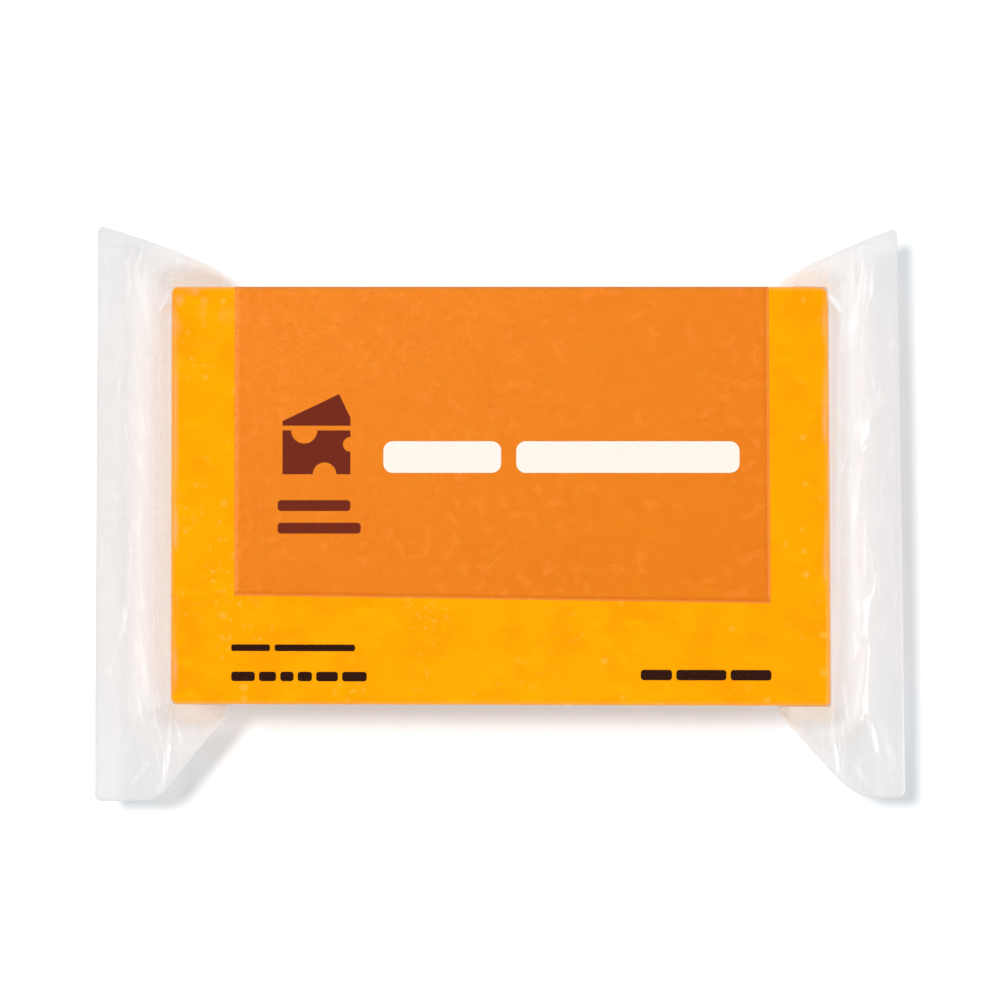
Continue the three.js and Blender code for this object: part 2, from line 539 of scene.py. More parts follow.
@dataclass(frozen=True)
class PanelFinish:
    """See-through orange ink, darker towards its near right corner, pale where air lies under it.

    Its right and near edges have a dark line with a pale line outside it, a painted highlight. Its left
    edge is pale.
    """

    ink: Colour = (0.845, 0.265, 0.034)
    dark_ink: Colour = (0.73, 0.198, 0.012)
    border: Colour = (0.70, 0.160, 0.012)
    pale: Colour = (1.0, 0.36, 0.075)
    cover: float = 0.40
    to_right: Ramp = Ramp(0.0, 114.0, 0.5)
    to_near: Ramp = Ramp(66.0, 0.0, 0.5)
    left_edge: Ramp = Ramp(1.4, 0.2)
    pockets: Clouds = Clouds(2.8, 0.8, Ramp(0.57, 0.62, 0.24))
    pocket_patches: Clouds = Clouds(16.0, 2.0, Ramp(0.38, 0.56))
    grain: Clouds = Clouds(0.45, 4.0, Ramp(0.42, 0.64, 0.5), (0.5, 1.0, 1.0))
    right_line: float = 0.5
    near_line: float = 0.35
    line_outside: Ramp = Ramp(0.0, 0.15)
    line_inside: Ramp = Ramp(0.9, 0.4, 0.6)
    edge_highlight: Ramp = Ramp(0.1, -0.1, 0.7)

    def material(self) -> Material:
        """Makes the material.

        Returns:
            The ink material.
        """
        shader = Shader("panel_ink")
        left, right, near = (shader.value(name) for name in ("from_left", "from_right", "from_near"))
        colour = shader.mix(shader.ease(left, self.to_right), self.ink, self.dark_ink)
        colour = shader.mix(shader.ease(near, self.to_near), colour, self.dark_ink)
        colour = shader.mix(shader.ease(left, self.left_edge), colour, self.pale)
        pockets = shader.math("MULTIPLY", shader.patches(self.pockets), shader.patches(self.pocket_patches))
        colour = shader.mix(pockets, colour, self.pale)
        colour = shader.mix(shader.patches(self.grain), colour, self.dark_ink)
        for distance, start in ((right, self.right_line), (near, self.near_line)):
            inward = shader.math("SUBTRACT", distance, start)
            outside, inside = (shader.ease(inward, ramp) for ramp in (self.line_outside, self.line_inside))
            colour = shader.mix(shader.math("MULTIPLY", outside, inside), colour, self.border)
            # Painted highlight: a pale line just outside the dark edge line
            colour = shader.mix(shader.ease(inward, self.edge_highlight), colour, self.pale)
        shader.set(Base_Color=colour, Roughness=0.4, Specular_IOR_Level=0.2, Alpha=self.cover)
        return shader.material


@dataclass(frozen=True)
class InkFinish:
    """Solid print ink of one colour, slightly worn in patches."""

    name: str
    colour: Colour
    worn: Colour
    wear: Clouds = Clouds(0.8, 2.0, Ramp(0.45, 0.75, 0.5))

    def material(self) -> Material:
        """Makes the material.

        Returns:
            The ink material.
        """
        shader = Shader(self.name)
        shader.set(Base_Color=shader.mix(shader.patches(self.wear), self.colour, self.worn))
        shader.set(Roughness=0.45, Specular_IOR_Level=0.2)
        return shader.material


@dataclass(frozen=True)
class BlockForm:
    """Size of the block in its film, in millimetres, and how its wire-cut sides lean."""

    length: float
    width: float
    height: float
    edge_radius: float = 1.5
    right_lean: float = 0.6
    left_lean: float = -0.2
    near_lean: float = 0.4
    blunt_reach: float = 6.0
    blunt_depth: float = 0.22

    @classmethod
    def from_frame(cls) -> "BlockForm":
        """Reads the block's size from its solid, whose leans stand half out on each side.

        Returns:
            The block's form.
        """
        low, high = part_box("cheese_block")
        length = (high.x - low.x) / MM - (abs(cls.right_lean) + abs(cls.left_lean)) / 2
        width = (high.y - low.y) / MM - cls.near_lean / 2
        return cls(length, width, high.z / MM)

    def edge_drop(self) -> float:
        """Share of the half height that a rounded edge takes."""
        return 2 * self.edge_radius / self.height

    def settle(self, points: Array) -> Array:
        """Gives points the block's leans and its blunt far right corner.

        X moves by lean * y / width towards each end, and Y by lean * x / length towards the near
        side. Near the blunt corner points move in along its diagonal, by the square of how close
        they are.

        Args:
            points: Points in millimetres, X, Y and Z last.

        Returns:
            The moved points.
        """
        x, y, z = np.moveaxis(points, -1, 0)
        to_right = np.clip(2 * x / self.length, 0.0, 1.0)
        to_left = np.clip(-2 * x / self.length, 0.0, 1.0)
        to_near = np.clip(-2 * y / self.width, 0.0, 1.0)
        from_corner = np.hypot(x - self.length / 2, y - self.width / 2)
        blunt = self.blunt_depth * np.clip(1 - from_corner / self.blunt_reach, 0.0, 1.0) ** 2
        moved_x = x - (self.right_lean * to_right + self.left_lean * to_left) * y / self.width - blunt
        moved_y = y - self.near_lean * to_near * x / self.length - blunt
        return np.stack([moved_x, moved_y, z], axis=-1)


@dataclass(frozen=True)
class Cheddar:
    """The block of cheese itself, just inside its film."""

    block: BlockForm
    finish: CheddarFinish = CheddarFinish()
    spacing: float = 0.85
    edge_steps: int = 4
    wave_depth: float = 0.06
    wave_cell: float = 7.0
    wave_seed: int = 3

    def build(self) -> Piece:
        """Makes the block as a rounded box from six grids, welded at their shared edges.

        Each grid point q on a plain box keeps its nearest point c on a smaller box, one radius in,
        and moves to c + radius * (q - c) / |q - c|. Its faces then wave gently by lattice noise.

        Returns:
            The cheese piece.
        """
        block = self.block
        half = np.array([block.length, block.width, block.height]) / 2 - CHEESE_DEPTH
        radius = block.edge_radius - CHEESE_DEPTH
        box, faces = self.box_grids(half, radius)
        core = np.clip(box, radius - half, half - radius)
        away = box - core
        normal = away / np.linalg.norm(away, axis=1, keepdims=True)
        rounded = np.round(core + radius * normal, WELD_DIGITS)
        rounded, joined = np.unique(rounded, axis=0, return_inverse=True)
        normals = np.zeros_like(rounded)
        normals[joined.ravel()] = normal
        x, y, z = rounded.T
        wave = lattice_noise(x + z, y - z, self.wave_cell, self.wave_seed)
        waved = rounded - normals * self.wave_depth * (wave[:, None] + 1) / 2
        waved[:, 2] += block.height / 2
        quads = turned_out(waved, joined.ravel()[faces])
        piece = make_piece("cheddar", block.settle(waved), quads.tolist())
        finish_piece(piece, self.finish.material())
        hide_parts("cheese_block")
        return piece

    def box_grids(self, half: Array, radius: float) -> tuple[Array, Array]:
        """A grid on each of the six sides of a plain box.

        Args:
            half: Half the box's size along each axis.
            radius: Radius that its edges will have, over which lines lie closer.

        Returns:
            Points, and quads between them.
        """
        lines = [self.grid_lines(size, radius) for size in half]
        points, faces, start = [], [], 0
        for axis in range(3):
            first, second = (axis + 1) % 3, (axis + 2) % 3
            for side in (-1, 1):
                grid = np.empty((len(lines[first]), len(lines[second]), 3))
                grid[..., axis] = side * half[axis]
                grid[..., first] = lines[first][:, None]
                grid[..., second] = lines[second][None, :]
                quads = grid_faces(*grid.shape[:2]) + start
                faces.append(quads if side < 0 else quads[:, ::-1])
                points.append(grid.reshape(-1, 3))
                start += points[-1].shape[0]
        return np.concatenate(points), np.concatenate(faces)

    def grid_lines(self, half: float, radius: float) -> Array:
        """Places of a side's grid lines: even across the flat part, and close over the rounded edges.

        Args:
            half: Half the side's length.
            radius: Radius of its edges.

        Returns:
            Places from one end to the other.
        """
        flat = half - radius
        inner = np.linspace(-flat, flat, int(2 * flat / self.spacing) + 1)
        edge = flat + radius * np.tan(np.linspace(0, np.pi / 4, self.edge_steps + 1)[1:])
        return np.concatenate([-edge[::-1], inner, edge])


@dataclass(frozen=True)
class FilmPlaces:
    """The film's points as seen from above, and how they lie to the block and to the film's edges.

    Attributes:
        x: X of each point, by station along the pack and place in the ring.
        y: Y of each point.
        past: Distance past the block's end, or 0.
        beside: Distance past its long side, or 0.
        gone: Distance from its outline, or 0 on the block.
        from_ridge: Distance from the nearer long fold.
        from_edge: Distance from the nearest fold or cut edge.
        free: How freely the film hangs, from 0 near the block to 1.
        seal: 1 in the pressed seal along a cut edge, and 0 elsewhere, with a soft step between.
    """

    x: Array
    y: Array
    past: Array
    beside: Array
    gone: Array
    from_ridge: Array
    from_edge: Array
    free: Array
    seal: Array


@dataclass(frozen=True)
class Pleat:
    """A straight ridge in the film past the block's end, from one point to another.

    Points are (distance past the block's end, y), in millimetres, and serve both ends.
    """

    start: tuple[float, float]
    end: tuple[float, float]
    width: float
    height: float
    haze: float
    clear_of_block: float = 0.2

    def profile(self, place: FilmPlaces) -> Array:
        """How much of the ridge's height stands at each point.

        A bell across the ridge, exp(-(distance / width)^2) of the distance to its line, times the
        root of the parabola 4t(1 - t) along it.

        Args:
            place: The film's points.

        Returns:
            Shares from 0 to 1.
        """
        run = np.array(self.end) - np.array(self.start)
        length = np.hypot(*run)
        from_start = (place.past - self.start[0], place.y - self.start[1])
        along = (from_start[0] * run[0] + from_start[1] * run[1]) / length**2
        across = (from_start[0] * run[1] - from_start[1] * run[0]) / length
        fade = np.clip(4 * along * (1 - along), 0.0, 1.0) ** 0.5
        here = (along > 0) & (along < 1) & (place.gone > self.clear_of_block)
        return SoftLine(0.0, self.width).of(across) * fade * here


PLEATS = (
    # The first pleat is short and wide: its haze paints a white glint near the block's far corners
    Pleat((0.5, 43.0), (3.2, 39.6), 0.55, 0.30, 0.55),
    Pleat((2.6, 41.0), (1.4, -38.0), 0.8, 0.45, 0.10),
    Pleat((9.4, 54.0), (4.8, 31.0), 0.9, 0.55, 0.12),
    Pleat((3.6, 47.5), (3.3, 30.0), 0.7, 0.45, 0.10),
    Pleat((6.2, 50.0), (4.2, 33.0), 0.6, 0.25, 0.05),
    Pleat((10.4, 52.0), (9.8, 43.0), 0.5, 0.35, 0.22),
    Pleat((0.4, -44.9), (2.6, -64.5), 0.5, 0.40, 0.18),
    Pleat((8.4, -31.0), (4.9, -51.0), 0.9, 0.50, 0.08),
    Pleat((2.9, -40.0), (4.7, -51.0), 0.6, 0.45, 0.10),
    Pleat((9.4, -62.5), (5.2, -57.0), 0.5, 0.30, 0.18),
    Pleat((14.6, -58.0), (10.4, -46.0), 0.9, 0.35, 0.08),
    Pleat((11.4, -57.0), (8.2, -47.0), 0.7, 0.30, 0.06),
    Pleat((17.2, 54.8), (10.2, 54.0), 0.5, 0.40, 0.02),
    Pleat((12.5, 22.0), (6.0, 12.0), 1.4, 0.35, 0.10),
    Pleat((8.0, 9.0), (5.5, -3.0), 0.9, 0.30, 0.08),
    Pleat((11.0, -16.0), (7.0, -26.0), 1.2, 0.30, 0.06),
)


@dataclass(frozen=True)
class FilmEnd:
    """The film past one end of the block: a flat fin, with an ear flared out at each long side.

    Attributes:
        cut_near: Distance of the cut edge's near corner from the pack's middle.
        cut_slant: How much closer its far corner lies.
        far_tip: Reach of the far ear's tip past the block's side.
        far_spare: What the tip's rounded corner takes off that ear.
        near_reach: Reach of the near ear.
        far_power: Power of the far ear's curve.
        near_slope: Slope of the near ear's side.
        knee_rounding: Rounding of the near ear's knee.
        ear_inset: How far in from the block's end the ears begin.
        tip_rounding: Radius of the tips' corners.
        haze: Haze of the flat fin.
        root_haze: Haze that a slanted view adds on the slope from the block.
        root_glow_share: Share of painted orange glow, the cheese reflected in the film, next to the block's
            end.
        cut_span: Length of the cut edge, over which its slant is spread.
    """

    cut_near: float
    cut_slant: float
    far_tip: float
    far_spare: float
    near_reach: float
    far_power: float
    near_slope: float
    knee_rounding: float
    ear_inset: float
    tip_rounding: float
    haze: float
    root_haze: float
    root_glow_share: float
    cut_span: float = 124.0

    def far_ear(self, along: Array, block: BlockForm) -> Array:
        """Reach of the far ear past the block's side: reach * t^power of the way t to the cut edge.

        Args:
            along: Distances from the pack's middle.
            block: The block.

        Returns:
            The reach at each distance.
        """
        root = block.length / 2 - self.ear_inset
        share = np.clip((along - root) / (self.cut_near - self.cut_slant - root), 0.0, 1.0)
        return (self.far_tip + self.far_spare) * share**self.far_power - self.tip(along)

    def near_ear(self, along: Array, block: BlockForm) -> Array:
        """Reach of the near ear: a straight slope up to a level edge, with a rounded knee between.

        Args:
            along: Distances from the pack's middle.
            block: The block.

        Returns:
            The reach at each distance.
        """
        root = block.length / 2 - self.ear_inset
        rising = self.near_slope * np.clip(along - root, 0.0, None)
        return soft_minimum(rising, self.near_reach, self.knee_rounding) - self.tip(along)

    def tip(self, along: Array) -> Array:
        """How far a tip's rounded corner falls short of a sharp one: r - sqrt(r^2 - overlap^2).

        Args:
            along: Distances from the pack's middle.

        Returns:
            The shortfall at each distance.
        """
        radius = self.tip_rounding
        overlap = np.clip(along - (self.middle_cut() - radius), 0.0, radius)
        return radius - np.sqrt(radius**2 - overlap**2)

    def middle_cut(self) -> float:
        """Distance of the cut edge from the pack's middle, halfway along it."""
        return self.cut_near - self.cut_slant / 2


@dataclass(frozen=True)
class FilmLooks:
    """How the film's finish changes over the pack: hazy fins, a painted orange glow at its roots,
    painted light that lifts shade, and a painted sheen line and a pale patch on the block.

    Ramps and lines run over distances in millimetres, and their tops are shares of the full effect.
    """

    block: BlockForm
    left: FilmEnd
    right: FilmEnd
    most: float = 0.95

    # Haze of the film clear of the block
    loose: Ramp = Ramp(0.0, 0.3, 0.05)
    fin: Ramp = Ramp(1.2, 6.8)
    seal_haze: float = 0.03
    seam: tuple[float, float] = (-12.0, -3.5)
    seam_step: float = 0.2
    seam_haze: float = 0.02
    seam_line_width: float = 0.35
    seam_line_haze: float = 0.045
    rim: SoftLine = SoftLine(0.1, 0.3, 0.20)
    streaks: Ripple = Ripple(3.0, 8.0, 90.0, 31, 0.05)

    # Painted sheen line on the film over the block's end edges, and a pale far left patch
    edge_sheen_line: SoftLine = SoftLine(1.1, 0.35, 0.18)
    edge_sheen_run: Ramp = Ramp(43.0, 36.0)
    edge_sheen_breaks: Ripple = Ripple(2.5, 3.0, 50.0, 41)
    edge_sheen_level: float = 0.2
    corner: Ramp = Ramp(17.0, 3.0, 0.11)
    corner_scuffs: Ripple = Ripple(1.8, 1.0, 70.0, 43)

    # Milkiness, and painted light that lifts the shade by the block and under the near ears
    fin_milk: Ramp = Ramp(12.0, 8.0, 0.7)
    root_painted_light: Ramp = Ramp(5.0, 1.0, 0.3)
    ear_grey: Ramp = Ramp(0.5, 5.0, 0.6)
    near_ear_painted_light: Ramp = Ramp(2.0, 12.0, 0.2)
    crease_sheen: float = 2.0
    edge_sheen_whitening: float = 4.0

    # Painted orange glow of the cheese in the film beside it, and where the film leaves the block
    grown: Ramp = Ramp(0.3, 6.0)
    side_glow: Ramp = Ramp(6.5, 0.2)
    side_glow_end: Ramp = Ramp(2.0, 0.0)
    side_glow_share: float = 0.37
    side_haze: float = 0.05
    side_slant_haze: float = 0.30
    end_glow: Ramp = Ramp(4.0, 0.2)
    end_glow_side: Ramp = Ramp(3.0, 0.0)
    end_haze: float = 0.03
    root_glow_line: SoftLine = SoftLine(0.06, 0.26)
    root_glow_line_haze: float = 0.32
    root_glow_line_share: float = 0.40

    # Haze at a slant, and slack
    slope_start: Ramp = Ramp(0.0, 0.3)
    slope_end: Ramp = Ramp(12.0, 7.0)
    seal_slack: float = 0.5
    slack_rim: Ramp = Ramp(0.2, 1.5)

    def values(self, place: FilmPlaces) -> dict[str, Array]:
        """What the film's material reads at each point, as sums of the ramps and lines above.

        Args:
            place: The film's points.

        Returns:
            Haze, milkiness with painted light, painted glow, slack and slanted haze, by name.
        """
        beside_block = (place.past == 0) & (place.beside > 0)
        grown = self.grown.of(place.from_ridge + place.beside)
        ear_growth = np.where(beside_block, grown, 1.0)
        side, end = self.glows(place, grown)
        line, corner = self.edge_sheen_and_corner_patch(place)
        crease = sum(pleat.haze * pleat.profile(place) for pleat in PLEATS)
        root = self.root_glow_line.of(self.from_root(place)) * ear_growth
        haze = (self.fin_haze(place) + crease + line + corner) * ear_growth
        haze = haze + self.side_haze * side + self.end_haze * end + self.root_glow_line_haze * root
        milk_and_painted_light = self.fin_milk.of(place.gone) * (1 - self.ear_grey.of(place.beside))
        # Painted light: whiter film by the block and under the near ears, where shade falls
        milk_and_painted_light = milk_and_painted_light + self.root_painted_light.of(place.gone) + self.near_ear_painted_light.of(place.beside) * (place.y < 0)
        # Painted highlights: creases and the sheen line along the block's ends whiten the film
        milk_and_painted_light = milk_and_painted_light + self.crease_sheen * crease + self.edge_sheen_whitening * line
        end_glow_share = self.by_end(place, self.left.root_glow_share, self.right.root_glow_share)
        # Painted glow: the cheese's orange reflected in the film by its sides, ends and root line
        painted_glow = self.side_glow_share * side + end_glow_share * end + self.root_glow_line_share * root
        slope = self.slope_start.of(place.gone) * self.slope_end.of(place.gone) * grown
        slope_haze = self.by_end(place, self.left.root_haze, self.right.root_haze)
        slanted = slope_haze * slope + self.side_slant_haze * side
        slack = place.free * (1 - self.seal_slack * place.seal) * self.slack_rim.of(place.from_edge)
        looks = {"haze": haze, "milk_and_painted_light": milk_and_painted_light, "painted_glow": painted_glow, "slack": slack, "edge_on": slanted}
        return {name: np.clip(value, 0.0, self.most) for name, value in looks.items()}

    def by_end(self, place: FilmPlaces, left: float, right: float) -> Array:
        """One value in the pack's left half and another in its right half."""
        return np.where(place.x > 0, right, left)

    def from_root(self, place: FilmPlaces) -> Array:
        """Distance from where the film leaves the block, below 0 on the block's own face."""
        return np.where(place.beside > 0, place.gone, np.abs(place.x) - self.block.length / 2)

    def fin_haze(self, place: FilmPlaces) -> Array:
        """Haze of the film clear of the block, with its seal, seam, rim and streaks.

        The seam is a band of Y between two soft steps, with a soft line along each of its edges.

        Args:
            place: The film's points.

        Returns:
            The haze at each point.
        """
        near, far = self.seam
        band = Ramp(near - self.seam_step, near + self.seam_step).of(place.y)
        band = band * Ramp(far + self.seam_step, far - self.seam_step).of(place.y)
        lines = sum(SoftLine(edge, self.seam_line_width).of(place.y) for edge in self.seam)
        detail = self.seam_haze * band + self.seam_line_haze * lines
        detail = detail + self.rim.of(place.from_edge) + self.streaks.of(place.x, place.y)
        fin = self.by_end(place, self.left.haze, self.right.haze) * self.fin.of(place.gone)
        return self.loose.of(place.gone) + fin + self.seal_haze * place.seal + detail * place.free

    def edge_sheen_and_corner_patch(self, place: FilmPlaces) -> tuple[Array, Array]:
        """A pale line along the block's ends, where film stretched over the edges gets a painted highlight,
        and a pale far left patch.

        Each is a soft shape times the upper part of a lattice noise.

        Args:
            place: The film's points.

        Returns:
            Haze of the lines, and haze of the patch.
        """
        on_block = place.gone == 0
        inward = self.block.length / 2 - np.abs(place.x)
        # Painted highlight on the film stretched over the block's end edges, broken by noise
        line = self.edge_sheen_line.of(inward) * self.edge_sheen_run.of(np.abs(place.y)) * on_block
        line = line * np.clip(self.edge_sheen_breaks.of(place.x, place.y) + self.edge_sheen_level, 0.0, 1.0)
        from_corner = np.hypot(inward, self.block.width / 2 - place.y)
        corner = self.corner.of(from_corner) * on_block * (place.x < 0)
        corner = corner * np.clip(self.corner_scuffs.of(place.x, place.y), 0.0, 1.0)
        return line, corner

    def glows(self, place: FilmPlaces, grown: Array) -> tuple[Array, Array]:
        """How much painted orange glow, the cheese reflected in the film, the film gets beside the block.

        Args:
            place: The film's points.
            grown: How far the ear has grown at each point, from 0 to 1.

        Returns:
            Glow beside the long sides, and glow past the ends, fading with the distance.
        """
        side = grown * self.side_glow.of(place.beside) * (place.beside > 0)
        end = self.end_glow.of(place.past) * (place.past > 0)
        return side * self.side_glow_end.of(place.past), end * self.end_glow_side.of(place.beside)


@dataclass(frozen=True)
class FilmWrap:
    """The closed film tube: a sleeve that clings to the block, pressed flat into a fin at each end."""

    block: BlockForm
    left: FilmEnd
    right: FilmEnd
    finish: FilmFinish = FilmFinish()
    half_fin: float = 0.12
    fall_length: float = 10.0
    fall_power: float = 2.2
    least_reach: float = 0.01
    crowding: float = 1.5
    corner_fan: float = 0.45
    slant_run: float = 16.0
    freeing: Ramp = Ramp(0.4, 7.0)
    seal_step: Ramp = Ramp(6.6, 5.4)
    waves: tuple[Ripple, Ripple] = (Ripple(4.5, 9.0, 200.0, 11, 0.30), Ripple(14.0, 4.0, 200.0, 12, 0.5))
    droop: float = 0.9
    droop_run: float = 20.0
    crinkles: Ripple = Ripple(2.6, 5.0, 300.0, 20)
    crinkle_depth: float = 0.07
    seal_crinkle_depth: float = 0.02
    seal_press: float = 0.6
    flat_rim: Ramp = Ramp(0.0, 2.0)
    middle_stations: int = 16
    ear_stations: int = 28
    slope_stations: int = 64
    turn_steps: int = 5
    flank_steps: int = 26
    top_steps: int = 116

    def build(self) -> Piece:
        """Makes the tube as rings of points round the pack, one at each station along it.

        A ring's upper and lower half lie at the fin's height plus and minus
        fin + (half height - fin) * A * B, where A falls from 1 on the block to 0 on the fin and B
        falls from 1 on the block's face to 0 at the ear's fold.

        Returns:
            The film piece.
        """
        block = self.block
        along, rise, far, near, tilt = self.stations()
        base, far_share, near_share, edge = self.columns()
        shift = self.corner_fan * np.clip(np.abs(along) - block.length / 2, 0.0, None)
        far_free, near_free = ((reach - shift)[:, None] for reach in (far, near))
        spread = base * (1 + shift[:, None] / (block.width / 2))
        y = spread + far_free * far_share - near_free * near_share
        x = along[:, None] + tilt[:, None] * y
        drop = edge * self.fall(far_free, far_share) * self.fall(near_free, near_share)
        half = self.half_fin + (block.height / 2 - self.half_fin) * rise[:, None] * drop
        from_far, from_near = far[:, None] - y, near[:, None] + y
        place = self.places(x, y, block.width / 2 + np.minimum(from_far, from_near))
        level = block.height / 2 + self.level(place)
        upper, lower = (
            np.stack([x, y, level + sheet.value * (half + self.puff(place, sheet))], axis=-1)
            for sheet in Sheet
        )
        rings = np.concatenate([upper, lower[:, ::-1]], axis=1)
        points = block.settle(rings.reshape(-1, 3))
        faces = turned_out(points - points.mean(axis=0), self.tube_faces(*rings.shape[:2]))
        looks = FilmLooks(block, self.left, self.right).values(place)
        values = {name: np.concatenate([value, value[:, ::-1]], axis=1) for name, value in looks.items()}
        piece = make_piece("film_wrap", points, faces.tolist(), values)
        finish_piece(piece, self.finish.material())
        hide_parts("film_end_left", "film_end_right")
        return piece

    def tube_faces(self, stations: int, around: int) -> Array:
        """Quads of the tube between its rings, and of the two narrow cut edges that close it.

        Args:
            stations: Number of rings.
            around: Number of points in a ring.

        Returns:
            Four point numbers for each quad.
        """
        rim = np.arange(around // 2 - 1)
        cap = np.stack([rim, rim + 1, around - 2 - rim, around - 1 - rim], axis=1)
        last = cap[:, ::-1] + (stations - 1) * around
        return np.concatenate([grid_faces(stations, around, closed=True)[:, ::-1], cap, last])

    def end_stations(self, end: FilmEnd) -> tuple[Array, Array]:
        """Stations of one end, from the ear's root to the cut edge.

        Along the block A is 1. Round its edge A falls by radius / half height * (1 - cos). Past it,
        A goes on falling as (1 - d / length)^power of the distance d from the block.

        Args:
            end: The film end.

        Returns:
            Distances from the pack's middle, and A at each.
        """
        half_length, radius = self.block.length / 2, self.block.edge_radius
        edge_drop = self.block.edge_drop()
        shoulder = half_length - radius
        beside = np.linspace(half_length - end.ear_inset, shoulder, self.ear_stations, endpoint=False)
        turn = np.linspace(0.0, QUARTER_TURN, self.turn_steps, endpoint=False)
        share = np.linspace(0.0, 1.0, self.slope_stations)
        past = (end.middle_cut() - half_length) * share**self.crowding
        slope = (1 - edge_drop) * np.clip(1 - past / self.fall_length, 0.0, 1.0) ** self.fall_power
        along = np.concatenate([beside, shoulder + radius * np.sin(turn), half_length + past])
        return along, np.concatenate([np.ones_like(beside), 1 - edge_drop * (1 - np.cos(turn)), slope])

    def fall(self, reach: Array, share: Array) -> Array:
        """How far the ear's film has come down: (1 - d / length)^power of the distance d from the block.

        Args:
            reach: The ear's reach at each station, over which a narrow ear comes down.
            share: Share of the reach at each point of a ring.

        Returns:
            What is left of the height, from 1 to 0.
        """
        length = np.clip(reach, self.least_reach, self.fall_length)
        distance = np.clip(reach, self.least_reach, None) * share
        return np.clip(1 - distance / length, 0.0, 1.0) ** self.fall_power

    def stations(self) -> tuple[Array, Array, Array, Array, Array]:
        """All stations from the left cut edge to the right one.

        A station tilts towards the slant of its cut edge, by slant / span of Y, as it nears that edge.

        Returns:
            X, A, far ear reach, near ear reach, and tilt of each station.
        """
        block, left, right = self.block, self.left, self.right
        left_along, left_rise = self.end_stations(left)
        right_along, right_rise = self.end_stations(right)
        middle = np.linspace(-left_along[0], right_along[0], self.middle_stations)[1:-1]
        flat = np.zeros_like(middle)
        along = np.concatenate([-left_along[::-1], middle, right_along])
        rise = np.concatenate([left_rise[::-1], flat + 1, right_rise])
        far = [left.far_ear(left_along, block)[::-1], flat, right.far_ear(right_along, block)]
        near = [left.near_ear(left_along, block)[::-1], flat, right.near_ear(right_along, block)]
        out = np.clip((np.abs(along) - block.length / 2) / self.slant_run, 0.0, 1.0)
        slant = np.where(along > 0, right.cut_slant / right.cut_span, left.cut_slant / left.cut_span)
        tilt = -np.sign(along) * out * slant
        return along, rise, np.concatenate(far), np.concatenate(near), tilt

    def columns(self) -> tuple[Array, Array, Array, Array]:
        """The points of half a ring, from the near ear's fold over the top to the far ear's fold.

        Round the block's long edge B falls by radius / half height * (1 - cos). On the flank, points
        stand out by growing shares of the ear's reach.

        Returns:
            Y on the block, shares of the far and near ears' reach, and B without the ears.
        """
        radius, half_width = self.block.edge_radius, self.block.width / 2
        edge_drop = self.block.edge_drop()
        turn = np.linspace(0.0, QUARTER_TURN, self.turn_steps + 1)[1:]
        share = np.linspace(0.0, 1.0, self.flank_steps + 1)[1:]
        top = np.linspace(radius - half_width, half_width - radius, self.top_steps)
        edge_y = half_width - radius + radius * np.sin(turn)
        side_y = np.concatenate([edge_y, np.full_like(share, half_width)])
        side_drop = np.concatenate([1 - edge_drop * (1 - np.cos(turn)), np.full_like(share, 1 - edge_drop)])
        side_share = np.concatenate([np.zeros_like(turn), share**self.crowding])
        base = np.concatenate([-side_y[::-1], top, side_y])
        drop = np.concatenate([side_drop[::-1], np.ones_like(top), side_drop])
        far_share = np.concatenate([np.zeros_like(side_y), np.zeros_like(top), side_share])
        return base, far_share, far_share[::-1], drop

    def places(self, x: Array, y: Array, from_ridge: Array) -> FilmPlaces:
        """How the film's points lie to the block and to the film's edges.

        Args:
            x: X of each point.
            y: Y of each point.
            from_ridge: Distance of each point from its nearer long fold.

        Returns:
            The points with their distances.
        """
        past = np.clip(np.abs(x) - self.block.length / 2, 0.0, None)
        beside = np.clip(np.abs(y) - self.block.width / 2, 0.0, None)
        gone = np.hypot(past, beside)
        from_cut = np.where(x > 0, self.right.middle_cut(), self.left.middle_cut()) - np.abs(x)
        from_edge = np.minimum(from_cut, from_ridge)
        seal = self.seal_step.of(from_cut) * (past > 0)
        return FilmPlaces(x, y, past, beside, gone, from_ridge, from_edge, self.freeing.of(gone), seal)

    def level(self, place: FilmPlaces) -> Array:
        """How far both layers lie above the fin's plane: gentle waves less a droop by distance squared."""
        waves = sum(wave.of(place.x, place.y) for wave in self.waves)
        return place.free * waves - self.droop * (place.gone / self.droop_run) ** 2

    def puff(self, place: FilmPlaces, sheet: Sheet) -> Array:
        """How far one layer stands out by its pleats and crinkles, which the seal presses flat.

        Args:
            place: The film's points.
            sheet: Which layer.

        Returns:
            The height at each point.
        """
        ridges = sum(pleat.height * pleat.profile(place) for pleat in PLEATS)
        depth = self.crinkle_depth * (1 - place.seal) + self.seal_crinkle_depth
        crinkles = depth * (self.crinkles.of(place.x, place.y, sheet.value) + 1)
        puff = ridges * (1 - self.seal_press * place.seal) + place.free * crinkles
        return puff * self.flat_rim.of(place.from_edge)


